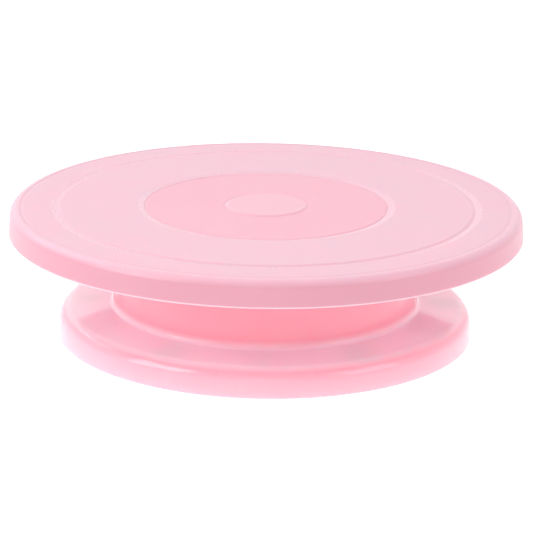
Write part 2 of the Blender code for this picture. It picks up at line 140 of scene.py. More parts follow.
# %% Round the corners of a path
def rounded(corners, step=9.0):
    """Each corner (r, z, radius) becomes an arc that touches both sides.

    The arc starts radius * tan(turn / 2) from the corner. Its centre lies radius / cos(turn / 2)
    from the corner along the bisector, and its points are at most step degrees apart.
    """
    path = np.array([corner[:2] for corner in corners], dtype=float)
    out = [path[:1]]
    for i in range(1, len(path) - 1):
        radius = corners[i][2]
        back = path[i - 1] - path[i]
        ahead = path[i + 1] - path[i]
        back = back / np.linalg.norm(back)
        ahead = ahead / np.linalg.norm(ahead)
        turn = math.pi - math.acos(max(-1.0, min(1.0, float(back @ ahead))))
        if radius <= 0 or turn < 0.01:
            out.append(path[i:i + 1])
            continue
        bisector = (back + ahead) / np.linalg.norm(back + ahead)
        centre = path[i] + bisector * radius / math.cos(turn / 2)
        first = path[i] + back * radius * math.tan(turn / 2) - centre
        last = path[i] + ahead * radius * math.tan(turn / 2) - centre
        t = np.linspace(0, 1, max(3, math.ceil(math.degrees(turn) / step) + 1))[:, None]
        swing = np.sin((1 - t) * turn) * first + np.sin(t * turn) * last
        out.append(centre + swing / math.sin(turn))
    out.append(path[-1:])
    return np.concatenate(out)


def arc(centre_r, centre_z, radius, start, end, count):
    """Points (r + radius cos a, z + radius sin a) for angles a from start to end, in degrees."""
    a = np.radians(np.linspace(start, end, count))
    return np.stack([centre_r + radius * np.cos(a), centre_z + radius * np.sin(a)], axis=1)


bend = rounded([(0, 0, 0), (10 * MM, 0, 2 * MM), (10 * MM, 10 * MM, 0)])
print("a square corner with a round of 2 mm becomes", len(bend) - 2, "points")


# %% Fill the straight stretches
def filled(path, longest, guard=0.15 * MM):
    """Splits each stretch longer than four guards.

    The new points lie one guard from each end, and evenly between, at most longest apart.
    """
    out = [path[:1]]
    for a, b in zip(path[:-1], path[1:]):
        length = float(np.linalg.norm(b - a))
        if length < 1e-9:
            continue
        stations = np.array([length])
        if length > 4 * guard:
            inner = np.linspace(guard, length - guard, max(2, math.ceil(length / longest) + 1))
            stations = np.append(inner, length)
        out.append(a + (b - a) * (stations / length)[:, None])
    return np.concatenate(out)


print("filled every 3 mm, the same path has", len(filled(bend, 3 * MM)), "points")

# %% [markdown]
# ## Surfaces
#
# A grid of points becomes faces by numbering it and taking each point with its three neighbours.
# Written as whole arrays this is four slices. A path carried round the axis is such a grid, and
# so is a rib's outline carried outwards. Blender's Screw modifier turns a path as well, but with
# the points in hand a rib, a cage and a thread can use the same few lines. Points that fall
# together, at a pole or a seam, are merged afterwards.

# %% Weave a grid into faces
def woven(index, round_rows, round_columns):
    """Faces (i, j), (i, j + 1), (i + 1, j + 1), (i + 1, j) of a grid of point numbers."""
    if round_rows:
        index = np.concatenate([index, index[:1]], axis=0)
    if round_columns:
        index = np.concatenate([index, index[:, :1]], axis=1)
    quads = np.stack([index[:-1, :-1], index[:-1, 1:], index[1:, 1:], index[1:, :-1]], axis=-1)
    return quads.reshape(-1, 4)


def turned(path, segments, closed=False):
    """Carries a path round the axis: x = r cos a, y = r sin a, z = height."""
    a = np.arange(segments) * math.tau / segments
    r, z = path[:, 0], path[:, 1]
    x = np.outer(np.cos(a), r)
    y = np.outer(np.sin(a), r)
    points = np.stack([x, y, np.broadcast_to(z, x.shape)], axis=-1)
    index = np.arange(x.size).reshape(x.shape)
    return points.reshape(-1, 3), woven(index, True, closed).tolist()


def set_round(points, faces, count, first_angle=0.0):
    """Copies a shape round the axis: each copy is turned by first_angle + k * 360 / count."""
    a = first_angle + np.arange(count) * math.tau / count
    turn = np.zeros((count, 3, 3))
    turn[:, 0, 0] = np.cos(a)
    turn[:, 0, 1] = -np.sin(a)
    turn[:, 1, 0] = np.sin(a)
    turn[:, 1, 1] = np.cos(a)
    turn[:, 2, 2] = 1
    copies = np.einsum("kij,nj->kni", turn, points).reshape(-1, 3)
    return copies, [[v + k * len(points) for v in face] for k in range(count) for face in faces]


tube_points, tube_faces = turned(np.array([[5 * MM, 0.0], [5 * MM, 10 * MM]]), 12)
print("a tube of 12 segments has", len(tube_points), "points and", len(tube_faces), "faces")


# %% Make a piece of the object
def make_piece(name, shape, material, body, nodes, sharp=32.0):
    """Builds a mesh, merges what falls together, ties it to its body and finish, and hides its
    nodes.
    """
    points, faces = shape
    mesh = bpy.data.meshes.new(name)
    mesh.from_pydata(np.asarray(points).tolist(), [], faces)
    bm = bmesh.new()
    bm.from_mesh(mesh)
    bmesh.ops.remove_doubles(bm, verts=bm.verts, dist=1e-7)
    bmesh.ops.delete(bm, geom=[vert for vert in bm.verts if not vert.link_faces], context="VERTS")
    volume = bm.calc_volume(signed=True)
    open_edges = sum(1 for edge in bm.edges if len(edge.link_faces) != 2)
    bm.to_mesh(mesh)
    bm.free()
    mesh.shade_smooth()
    mesh.set_sharp_from_angle(angle=math.radians(sharp))
    mesh.materials.append(material)
    piece = bpy.data.objects.new(name, mesh)
    bpy.context.scene.collection.objects.link(piece)
    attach(piece, body)
    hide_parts(*nodes)
    triangles = sum(len(polygon.vertices) - 2 for polygon in mesh.polygons)
    row = (name, triangles, volume * 1e6, open_edges)
    print("%-22s %7d triangles, %8.3f cm3, %d open edges" % row)
    if volume <= 0 or open_edges:
        raise ValueError(name + " is open or inside out")
    return piece


# %% [markdown]
# ## Materials
#
# Colours are written as the sRGB hex values that a designer would pick, and Cycles works in
# linear light, so one function turns one into the other. Patterns read Object coordinates, which
# are metres here, so a pattern's scale is one over its real size: a grain of 0.5 mm is a scale of
# 2000.

# %% Colours and nodes
def linear(text):
    """Linear light: c / 12.92 below 0.04045, otherwise ((c + 0.055) / 1.055) to the power 2.4."""
    c = np.array([int(text[i:i + 2], 16) for i in (1, 3, 5)]) / 255
    values = np.where(c <= 0.04045, c / 12.92, ((c + 0.055) / 1.055) ** 2.4)
    return (float(values[0]), float(values[1]), float(values[2]), 1.0)


def add(tree, kind, inputs, **settings):
    """Adds a node with its settings; each input takes a value or another node's output."""
    node = tree.nodes.new(kind)
    for key, value in settings.items():
        setattr(node, key, value)
    for key, value in inputs.items():
        if isinstance(value, bpy.types.NodeSocket):
            tree.links.new(value, node.inputs[key])
        else:
            node.inputs[key].default_value = value
    return node


def start_finish(name, values):
    """A new material: its tree, its shader with plain values set, and the Object coordinates."""
    material = bpy.data.materials.new(name)
    material.use_nodes = True
    tree = material.node_tree
    shader = tree.nodes["Principled BSDF"]
    for key, value in values.items():
        shader.inputs[key].default_value = value
    place = add(tree, "ShaderNodeTexCoord", {}).outputs["Object"]
    return material, tree, shader, place


def per_mm(size):
    """The scale of a pattern whose features are this many millimetres across."""
    return 1.0 / (size * MM)


print("the grey #808080 is %.3f in linear light" % linear("#808080")[0])
print("a grain of 0.5 mm has a scale of %.0f" % per_mm(0.5))

# %% [markdown]
# ### The plate's satin polypropylene
#
# Polypropylene is a soft, waxy, slightly cloudy plastic. A mould blasted with fine grit leaves a
# grain of a few tenths of a millimetre: light breaks up on it, so the face looks dry and even.
# One colour with one roughness would look like paint, so both change over the surface. The grain
# is drawn at 0.55 mm, a little coarser than a real one, so that it shows.
#
# The ring between the centre disc and the first step is drawn rougher. The face around it is
# painted a paler, greyer pink, as painted sheen, so the ring shows more of its own pink. The slopes
# of the steps are drawn a little smoother, and they and the skirt's lower edge are painted a pale
# pink as painted highlights, so they read as pale lines. The centre disc has a little of both. The
# skirt below the face is painted a darker pink, as painted shade.
#
# Each of these zones is a ring, so the length of the flat part of a place, as a share of the
# plate's radius, tells them apart. Two ramps read it: one for the coarse zone and one for the
# slopes.

# %% A ramp of greys
def ramp(tree, factor, stops):
    """A ramp of greys from pairs of position and value, read at the given factor."""
    node = add(tree, "ShaderNodeValToRGB", {"Fac": factor})
    while len(node.color_ramp.elements) < len(stops):
        node.color_ramp.elements.new(0.5)
    for element, (position, value) in zip(node.color_ramp.elements, stops):
        element.position = position
        element.color = (value, value, value, 1.0)
    return node.outputs["Color"]


# %% Satin pink polypropylene: its zones
satin_pink, tree, shader, place = start_finish("satin_pink_polypropylene", {
    "IOR": 1.49, "Subsurface Weight": 0.4,
    "Subsurface Scale": 2.0 * MM, "Subsurface Radius": (1.0, 0.4, 0.45),
})
flat_place = add(
    tree, "ShaderNodeVectorMath", {0: place, 1: (1.0, 1.0, 0.0)}, operation="MULTIPLY"
)
radius = add(tree, "ShaderNodeVectorMath", {0: flat_place.outputs["Vector"]}, operation="LENGTH")
share = add(
    tree, "ShaderNodeMath", {0: radius.outputs["Value"], 1: PLATE_RADIUS}, operation="DIVIDE"
)
# The coarse ring is drawn rougher, and it also takes the deeper of the two tints, while the face
# around it is painted paler as painted sheen.
coarse_and_sheen_mm = ((0.0, 0.6), (21.0, 0.6), (23.1, 1.0), (65.5, 1.0), (67.8, 0.0))
slope_mm = (
    (0.0, 0.3), (20.4, 0.3), (21.6, 1.0), (22.7, 0.0),
    (66.4, 0.0), (67.8, 1.0), (70.0, 1.0), (71.0, 0.0),
    (113.7, 0.0), (114.8, 1.0), (117.0, 1.0), (118.2, 0.0),
    (135.0, 0.0), (136.2, 0.8), (136.8, 0.8), (137.8, 0.0),
)
zone_stops = [(r * MM / PLATE_RADIUS, value) for r, value in coarse_and_sheen_mm]
slope_stops = [(r * MM / PLATE_RADIUS, value) for r, value in slope_mm]
zone = ramp(tree, share.outputs["Value"], zone_stops)
slope = ramp(tree, share.outputs["Value"], slope_stops)
print("stops of the two ramps", len(zone_stops), len(slope_stops))

# %% Satin pink polypropylene: its colour, with painted sheen, shade and highlights
cloud = add(
    tree, "ShaderNodeTexNoise",
    {"Vector": place, "Scale": per_mm(26.0), "Detail": 4.0, "Roughness": 0.6},
)
# Painted sheen: outside the coarse ring the face is a paler, greyer pink; the ring itself is a
# deeper pink.
tint = add(
    tree, "ShaderNodeMix",
    {"Factor": zone, "A": linear("#E0B6C5"), "B": linear("#EFABBC")},
    data_type="RGBA",
)
clouded = add(
    tree, "ShaderNodeMix",
    {"Factor": cloud.outputs["Fac"], "A": tint.outputs["Result"], "B": linear("#EAB0C1")},
    data_type="RGBA",
)
# Painted highlights: the slopes of the steps, and faintly the centre disc, are mixed towards a pale
# pink.
painted_highlight_share = add(tree, "ShaderNodeMath", {0: slope, 1: 0.20}, operation="MULTIPLY")
highlighted = add(
    tree, "ShaderNodeMix",
    {
        "Factor": painted_highlight_share.outputs["Value"],
        "A": clouded.outputs["Result"], "B": linear("#F8D6E1"),
    },
    data_type="RGBA",
)
height = add(tree, "ShaderNodeSeparateXYZ", {"Vector": place})
# The face is painted paler than the skirt: painted sheen on the face and painted shade on the
# skirt.
on_face = add(
    tree, "ShaderNodeMapRange",
    {
        "Value": height.outputs["Z"],
        "From Min": PLATE_TOP - 3.5 * MM, "From Max": PLATE_TOP - 0.8 * MM,
    },
)
# Painted highlight: a pale band along the skirt's lower edge, above a skirt painted a darker pink
# as painted shade.
edge_highlight = 1.2 * MM
off_edge = add(
    tree, "ShaderNodeMapRange",
    {
        "Value": height.outputs["Z"],
        "From Min": SKIRT_END + 0.4 * MM, "From Max": SKIRT_END + edge_highlight,
    },
)
side = add(
    tree, "ShaderNodeMix",
    {"Factor": off_edge.outputs["Result"], "A": linear("#F8CFDA"), "B": linear("#D799A9")},
    data_type="RGBA",
)
shown = add(
    tree, "ShaderNodeMix",
    {
        "Factor": on_face.outputs["Result"],
        "A": side.outputs["Result"], "B": highlighted.outputs["Result"],
    },
    data_type="RGBA",
)
tree.links.new(shown.outputs["Result"], shader.inputs["Base Color"])
print("the skirt's pale edge is %.1f mm high" % (edge_highlight / MM))

# %% Satin pink polypropylene: its grain
grain = add(
    tree, "ShaderNodeTexNoise",
    {"Vector": place, "Scale": per_mm(0.55), "Detail": 3.0, "Roughness": 0.6},
)
rough = add(
    tree, "ShaderNodeMapRange",
    {
        "Value": grain.outputs["Fac"],
        "From Min": 0.3, "From Max": 0.7, "To Min": 0.28, "To Max": 0.38,
    },
)
rough_zone = add(
    tree, "ShaderNodeMath",
    {0: zone, 1: 0.10, 2: rough.outputs["Result"]},
    operation="MULTIPLY_ADD",
)
polished = add(
    tree, "ShaderNodeMath",
    {0: slope, 1: -0.05, 2: rough_zone.outputs["Value"]},
    operation="MULTIPLY_ADD",
)
relief = add(
    tree, "ShaderNodeBump",
    {"Height": grain.outputs["Fac"], "Strength": 0.35, "Distance": 0.03 * MM},
)
tree.links.new(polished.outputs["Value"], shader.inputs["Roughness"])
tree.links.new(relief.outputs["Normal"], shader.inputs["Normal"])
print(satin_pink.name, len(tree.nodes), "nodes")

# %% [markdown]
# ### The base's glossy polypropylene
#
# The base comes from a polished mould, so it mirrors the room softly. Real moulded gloss isn't
# perfect: the skin waves by a few microns over some ten millimetres, which bends the edges of the
# reflections, and handling leaves faint hairlines that only change the roughness. They are drawn
# about a millimetre apart, coarser than real ones, so that they show.
#
# Light gets some millimetres into the resin and through the thin flange, and the shader's
# translucency gives that. The colour is also painted by height: the flange's flat top, which lies
# in the plate's shade, is painted pale as painted light, while its round edge and the drum are
# painted a deeper pink as painted shade.

# %% Glossy pink polypropylene: its colour by height, with painted light and shade
gloss_pink, tree, shader, place = start_finish("glossy_pink_polypropylene", {
    "IOR": 1.49, "Subsurface Weight": 0.9,
    "Subsurface Scale": 3.2 * MM, "Subsurface Radius": (1.0, 0.6, 0.66),
})
cloud = add(tree, "ShaderNodeTexNoise", {"Vector": place, "Scale": per_mm(30.0), "Detail": 3.0})
height = add(tree, "ShaderNodeSeparateXYZ", {"Vector": place})
# Painted light and shade by height: the flange's flat top, in the plate's shade, is painted pale,
# and its round edge and the drum a deeper pink.
shade_on_round, light_on_top, shade_on_drum = (
    add(
        tree, "ShaderNodeMapRange",
        {"Value": height.outputs["Z"], "From Min": start * MM, "From Max": end * MM},
    )
    for start, end in ((3.0, 9.0), (14.0, 16.2), (17.3, 21.5))
)
edge_tint = add(
    tree, "ShaderNodeMix",
    {"Factor": cloud.outputs["Fac"], "A": linear("#FFC0CD"), "B": linear("#FFBCCA")},
    data_type="RGBA",
)
tint = edge_tint
for part, colour in ((shade_on_round, "#FFB3C2"), (light_on_top, "#FFE5EC"), (shade_on_drum, "#FFAFBF")):
    tint = add(
        tree, "ShaderNodeMix",
        {"Factor": part.outputs["Result"], "A": tint.outputs["Result"], "B": linear(colour)},
        data_type="RGBA",
    )
tree.links.new(tint.outputs["Result"], shader.inputs["Base Color"])
print("four tints from the foot up, for the edge, its round, the flat top and the drum")

# %% Glossy pink polypropylene: its skin
wave = add(tree, "ShaderNodeTexNoise", {"Vector": place, "Scale": per_mm(11.0), "Detail": 1.0})
hair = add(
    tree, "ShaderNodeTexNoise",
    {"Vector": place, "Scale": per_mm(1.2), "Detail": 4.0, "Roughness": 0.7, "Distortion": 1.2},
)
rough = add(
    tree, "ShaderNodeMapRange",
    {
        "Value": hair.outputs["Fac"],
        "From Min": 0.35, "From Max": 0.75, "To Min": 0.05, "To Max": 0.12,
    },
)
relief = add(
    tree, "ShaderNodeBump",
    {"Height": wave.outputs["Fac"], "Strength": 0.25, "Distance": 0.05 * MM},
)
tree.links.new(rough.outputs["Result"], shader.inputs["Roughness"])
tree.links.new(relief.outputs["Normal"], shader.inputs["Normal"])
print(gloss_pink.name, len(tree.nodes), "nodes")

# %% [markdown]
# ### Cage, balls, zinc and rubber
#
# The cage is natural acetal, a milky white plastic that slides well, with faint flow lines. The
# balls are lapped bearing steel, all but mirrors. Washer and screw are zinc plated: a bright
# bluish skin of small crystals. The pads are a light grey rubber that lets a little light in,
# with a dusty bloom, which lifts their roughness in patches. The marks of lapping, the zinc's
# crystals and the rubber's pores are far finer on real parts. They are drawn about half a
# millimetre wide, because otherwise they wouldn't show.

# %% Natural acetal
milky_acetal, tree, shader, place = start_finish(
    "natural_acetal", {"IOR": 1.48, "Subsurface Weight": 0.1, "Subsurface Scale": 1.0 * MM}
)
flow = add(
    tree, "ShaderNodeTexNoise",
    {"Vector": place, "Scale": per_mm(6.0), "Detail": 3.0, "Distortion": 0.8},
)
tint = add(
    tree, "ShaderNodeMix",
    {"Factor": flow.outputs["Fac"], "A": linear("#F2F0E9"), "B": linear("#E4E1D8")},
    data_type="RGBA",
)
rough = add(
    tree, "ShaderNodeMapRange", {"Value": flow.outputs["Fac"], "To Min": 0.30, "To Max": 0.48}
)
tree.links.new(tint.outputs["Result"], shader.inputs["Base Color"])
tree.links.new(rough.outputs["Result"], shader.inputs["Roughness"])
print(milky_acetal.name, len(tree.nodes), "nodes")

# %% Lapped bearing steel
lapped_steel, tree, shader, place = start_finish("lapped_bearing_steel", {"Metallic": 1.0})
lap = add(
    tree, "ShaderNodeTexNoise",
    {"Vector": place, "Scale": per_mm(0.5), "Detail": 4.0, "Distortion": 2.0},
)
tint = add(
    tree, "ShaderNodeMix",
    {"Factor": lap.outputs["Fac"], "A": linear("#DADCDE"), "B": linear("#CFD1D4")},
    data_type="RGBA",
)
rough = add(
    tree, "ShaderNodeMapRange", {"Value": lap.outputs["Fac"], "To Min": 0.05, "To Max": 0.14}
)
tree.links.new(tint.outputs["Result"], shader.inputs["Base Color"])
tree.links.new(rough.outputs["Result"], shader.inputs["Roughness"])
print(lapped_steel.name, len(tree.nodes), "nodes")

# %% Zinc plated steel
zinc, tree, shader, place = start_finish("zinc_plated_steel", {"Metallic": 1.0})
crystals = add(
    tree, "ShaderNodeTexVoronoi", {"Vector": place, "Scale": per_mm(0.6), "Randomness": 1.0}
)
tint = add(
    tree, "ShaderNodeMix",
    {"Factor": crystals.outputs["Distance"], "A": linear("#D3D7DB"), "B": linear("#BCC2C9")},
    data_type="RGBA",
)
rough = add(
    tree, "ShaderNodeMapRange",
    {"Value": crystals.outputs["Distance"], "To Min": 0.22, "To Max": 0.38},
)
relief = add(
    tree, "ShaderNodeBump",
    {"Height": crystals.outputs["Distance"], "Strength": 0.2, "Distance": 0.01 * MM},
)
tree.links.new(tint.outputs["Result"], shader.inputs["Base Color"])
tree.links.new(rough.outputs["Result"], shader.inputs["Roughness"])
tree.links.new(relief.outputs["Normal"], shader.inputs["Normal"])
print(zinc.name, len(tree.nodes), "nodes")

# %% Grey rubber
grey_rubber, tree, shader, place = start_finish(
    "grey_rubber", {"IOR": 1.52, "Subsurface Weight": 0.8, "Subsurface Scale": 6.0 * MM}
)
bloom = add(
    tree, "ShaderNodeTexNoise",
    {"Vector": place, "Scale": per_mm(3.0), "Detail": 5.0, "Roughness": 0.65},
)
pores = add(tree, "ShaderNodeTexNoise", {"Vector": place, "Scale": per_mm(0.4), "Detail": 2.0})
tint = add(
    tree, "ShaderNodeMix",
    {"Factor": bloom.outputs["Fac"], "A": linear("#BEBEC0"), "B": linear("#D6D6D8")},
    data_type="RGBA",
)
rough = add(
    tree, "ShaderNodeMapRange", {"Value": bloom.outputs["Fac"], "To Min": 0.72, "To Max": 0.95}
)
relief = add(
    tree, "ShaderNodeBump",
    {"Height": pores.outputs["Fac"], "Strength": 0.4, "Distance": 0.03 * MM},
)
tree.links.new(tint.outputs["Result"], shader.inputs["Base Color"])
tree.links.new(rough.outputs["Result"], shader.inputs["Roughness"])
tree.links.new(relief.outputs["Normal"], shader.inputs["Normal"])
print(grey_rubber.name, len(tree.nodes), "nodes")

# %% [markdown]
# ## The plate
#
# The plate's face carries shallow relief: a centre disc, a ring set a little lower with a fine
# groove along each of its borders, a wider groove with one steep flank, and a fine line inside
# the edge. A bump pattern could draw these lines, but the mesh wouldn't hold them. Half a
# millimetre of depth is enough to catch the light, so the face is a height worked out for each
# radius, and its points lie close together only where it bends.

# %% Steps and grooves
def smooth_step(x):
    """0 below 0, 1 above 1, and 3 x^2 - 2 x^3 between, so that it leaves and arrives flat."""
    x = np.clip(x, 0, 1)
    return x * x * (3 - 2 * x)


def dip(r, centre, width, depth):
    """A soft groove: depth times cos squared of the distance from its middle, zero at its lips."""
    x = np.clip((r - centre) / width, -0.5, 0.5)
    return depth * np.cos(math.pi * x) ** 2


def cut(r, lowest, inward, outward, depth):
    """A groove with unequal flanks: down over the width inward, back up over the width outward."""
    down = smooth_step((r - lowest + inward) / inward)
    up = smooth_step((r - lowest) / outward)
    return depth * down * (1 - up)


print("a quarter of the way along, a smooth step has risen by", float(smooth_step(0.25)))

# %% The relief of the plate's face
CENTRE_RADIUS = 21.5 * MM
FIELD_RADIUS = 69.0 * MM
GROOVE_RADIUS = PLATE_RADIUS - 24.5 * MM
LINE_RADIUS = PLATE_RADIUS - 6.5 * MM


def face_height(r):
    """Plate top, less the lower ring's drop, the grooves at its borders and the two beyond."""
    drop = smooth_step((r - CENTRE_RADIUS + 0.4 * MM) / (1.5 * MM))
    rise = smooth_step((r - FIELD_RADIUS + 2.0 * MM) / (4.2 * MM))
    z = PLATE_TOP - FIELD_DROP * drop * (1 - rise)
    z = z - dip(r, FIELD_RADIUS - 2.6 * MM, 2.0 * MM, 0.40 * MM)
    z = z - dip(r, CENTRE_RADIUS + 1.4 * MM, 1.8 * MM, 0.25 * MM)
    z = z - cut(r, GROOVE_RADIUS - 1.2 * MM, 2.0 * MM, 4.0 * MM, 0.60 * MM)
    return z - cut(r, LINE_RADIUS + 0.4 * MM, 1.6 * MM, 1.3 * MM, 0.26 * MM)


def face_path():
    """Radii from the axis to the start of the edge round, fine across each step and groove."""
    stretches = [
        np.arange(0.0, 20.4, 2.55),
        np.arange(20.4, 24.2, 0.2),
        np.arange(24.2, 65.0, 4.1),
        np.arange(65.0, 71.6, 0.25),
        np.arange(71.6, GROOVE_RADIUS / MM - 3.4, 4.1),
        np.arange(GROOVE_RADIUS / MM - 3.4, GROOVE_RADIUS / MM + 3.2, 0.3),
        np.arange(GROOVE_RADIUS / MM + 3.2, LINE_RADIUS / MM - 1.3, 2.3),
        np.arange(LINE_RADIUS / MM - 1.3, LINE_RADIUS / MM + 1.9, 0.2),
    ]
    r = np.concatenate(stretches) * MM
    return np.stack([r, face_height(r)], axis=1)


face = face_path()
deepest = (PLATE_TOP - face[:, 1].min()) / MM
print("face path", len(face), "points, lowest %.2f mm under the top" % deepest)

# %% [markdown]
# Below the face the path goes round the edge, down the skirt, which leans out so that it leaves
# the mould, back up inside it, and along the underside to the ring rib, the ball track and the
# hollow spindle. A small bead of a round at the skirt's lower edge catches the light from the
# table, and the satin material adds a painted highlight along it.

# %% The plate's whole outline
def drafted(edge, centre_z, round_size, end_z, z):
    """Radius at height z of a wall that leans out by LEAN down to end_z and touches an edge round.

    For a lean of angle a the wall lies where
    (r - centre_r) cos a + (z - centre_z) sin a = round_size.
    """
    a = math.atan(LEAN / (centre_z - end_z))
    return edge - round_size + (round_size - (z - centre_z) * math.sin(a)) / math.cos(a)


ROUND_Z = PLATE_TOP - EDGE_ROUND
SKIRT_OUT = drafted(PLATE_RADIUS, ROUND_Z, EDGE_ROUND, SKIRT_END, SKIRT_END)
SKIRT_IN = PLATE_RADIUS - SKIRT_WALL
RING_RIB = PLATE_RADIUS - 37.0 * MM
RING_RIB_FOOT = PLATE_UNDER - 4.0 * MM
upper_face = BALL_Z + TRACK_SPACE
pilot_end = screw_high[2] + 0.3 * MM
edge_corners = [
    (float(face[-1, 0]), PLATE_TOP, 0),
    (drafted(PLATE_RADIUS, ROUND_Z, EDGE_ROUND, SKIRT_END, PLATE_TOP), PLATE_TOP, EDGE_ROUND),
    (SKIRT_OUT, SKIRT_END, 0.9 * MM),
    (SKIRT_OUT - SKIRT_WALL, SKIRT_END, 0.5 * MM),
    (SKIRT_IN, PLATE_UNDER, 2.6 * MM),
    (RING_RIB + 0.9 * MM, PLATE_UNDER, 0.8 * MM),
    (RING_RIB + 0.6 * MM, RING_RIB_FOOT, 0.35 * MM),
    (RING_RIB - 0.6 * MM, RING_RIB_FOOT, 0.35 * MM),
    (RING_RIB - 0.9 * MM, PLATE_UNDER, 0.8 * MM),
    (TRACK_RADIUS + TRACK_HALF, PLATE_UNDER, 0.6 * MM),
    (TRACK_RADIUS + TRACK_HALF, upper_face, 0.3 * MM),
    (TRACK_RADIUS + TRACK_LIP, upper_face, 0),
]
lip_angle = math.degrees(math.asin(TRACK_SPACE / TRACK_GROOVE))
upper_track = arc(TRACK_RADIUS, BALL_Z, TRACK_GROOVE, lip_angle, 180 - lip_angle, 15)
spindle_corners = [
    (TRACK_RADIUS - TRACK_LIP, upper_face, 0),
    (TRACK_RADIUS - TRACK_HALF, upper_face, 0.3 * MM),
    (TRACK_RADIUS - TRACK_HALF, PLATE_UNDER, 0.6 * MM),
    (SPINDLE_RADIUS, PLATE_UNDER, 0.8 * MM),
    (SPINDLE_RADIUS, SPINDLE_END, 0.5 * MM),
    (SPINDLE_RADIUS - SPINDLE_WALL, SPINDLE_END, 0.3 * MM),
    (SPINDLE_RADIUS - SPINDLE_WALL, PLATE_UNDER, 0.6 * MM),
    (BOSS_RADIUS, PLATE_UNDER, 0.6 * MM),
    (BOSS_RADIUS, SPINDLE_END, 0.3 * MM),
    (PILOT_RADIUS, SPINDLE_END, 0.4 * MM),
    (PILOT_RADIUS, pilot_end, 0.3 * MM),
    (0.0, pilot_end, 0),
]
below = np.concatenate([rounded(edge_corners), upper_track, rounded(spindle_corners)])
plate_path = np.concatenate([face[:-1], filled(below, 6.0 * MM)])
plate_shape = turned(plate_path, 220)
make_piece("plate_shell", plate_shape, satin_pink, "plate", ["turntable_plate"])

# %% [markdown]
# ## Ribs
#
# A moulded rib is a thin blade that is a little thicker at its root, flows into the wall with a
# small fillet, and ends in a rounded tip. A bevelled box would do for a rib under a flat wall.
# Here one outline is carried outwards, with its upper points tied to the wall above and its lower
# ones to the rib's foot, so that a rib can also follow a wall that curves.

# %% A blade under a wall
def blade(radii, ceiling, foot, root=0.7 * MM, tip=0.35 * MM, buried=0.9 * MM):
    """Height of a point = foot + (ceiling - foot) * hold + lift, with hold 1 at the root.

    The outline runs down one side and up the other: a fillet of a quarter circle at the root, the
    tapered side, and a quarter circle on each side of the tip.
    """
    half = RIB_WALL / 2
    tip_half = half - 0.2 * MM
    q = np.radians(np.linspace(90, 0, 5))
    fillet_x = -(half + root) + root * np.cos(q)
    fillet_z = -root + root * np.sin(q)
    p = np.radians(np.linspace(180, 270, 5))
    tip_x = -(tip_half - tip) + tip * np.cos(p)
    tip_z = tip + tip * np.sin(p)
    side_x = np.concatenate([[-(half + root)], fillet_x, tip_x])
    lift = np.concatenate([[buried], fillet_z, tip_z])
    hold = np.concatenate([np.ones(6), np.zeros(5)])
    across = np.concatenate([side_x, -side_x[::-1]])
    lift = np.concatenate([lift, lift[::-1]])
    hold = np.concatenate([hold, hold[::-1]])
    z = foot[:, None] + (ceiling - foot)[:, None] * hold + lift
    x = np.broadcast_to(radii[:, None], z.shape)
    y = np.broadcast_to(across, z.shape)
    points = np.stack([x, y, z], axis=-1)
    index = np.arange(z.size).reshape(z.shape)
    faces = woven(index, False, True).tolist()
    faces.append(index[0][::-1].tolist())
    faces.append(index[-1].tolist())
    return points.reshape(-1, 3), faces


def level(radii, z):
    """The same height at every station."""
    return np.full(len(radii), z)


print("a rib is %.1f mm thick" % (RIB_WALL / MM))
print("its ends go %.1f mm into the walls" % (RIB_WELD / MM))

# %% The plate's ribs and the spindle's webs
PLATE_RIBS = 8
SPINDLE_WEBS = 4
out_radii = np.linspace(TRACK_RADIUS + TRACK_HALF - RIB_WELD, SKIRT_IN + RIB_WELD, 12)
in_radii = np.linspace(SPINDLE_RADIUS - RIB_WELD, TRACK_RADIUS - TRACK_HALF + RIB_WELD, 8)
web_radii = np.linspace(BOSS_RADIUS - RIB_WELD, SPINDLE_RADIUS - SPINDLE_WALL + RIB_WELD, 4)
rib_foot = PLATE_UNDER - 5.5 * MM
web_foot = SPINDLE_END + 0.8 * MM
outer = blade(out_radii, level(out_radii, PLATE_UNDER), level(out_radii, rib_foot))
inner = blade(in_radii, level(in_radii, PLATE_UNDER), level(in_radii, rib_foot))
web = blade(web_radii, level(web_radii, PLATE_UNDER), level(web_radii, web_foot), root=0.4 * MM)
for name, shape, count in (
    ("plate_outer_ribs", outer, PLATE_RIBS),
    ("plate_inner_ribs", inner, PLATE_RIBS),
    ("spindle_webs", web, SPINDLE_WEBS),
):
    ring = set_round(*shape, count, math.tau / count / 2)
    make_piece(name, ring, satin_pink, "plate", ["turntable_plate"], sharp=40.0)

# %% [markdown]
# ## The base
#
# The base is drawn as one hollow moulding with an even wall: a deck with the lower ball track, a
# drum, and a broad flange with a full round edge. A single sheet with a Solidify modifier would
# have an even wall too, but its inner rounds and the channel under the track couldn't be chosen
# one by one. Walking all the way round the section gives a closed path, and carrying that round
# the axis gives the whole shell at once, with no seam between its inside and its outside. The
# flange's top falls outwards by 0.8 mm over 19.7 mm.

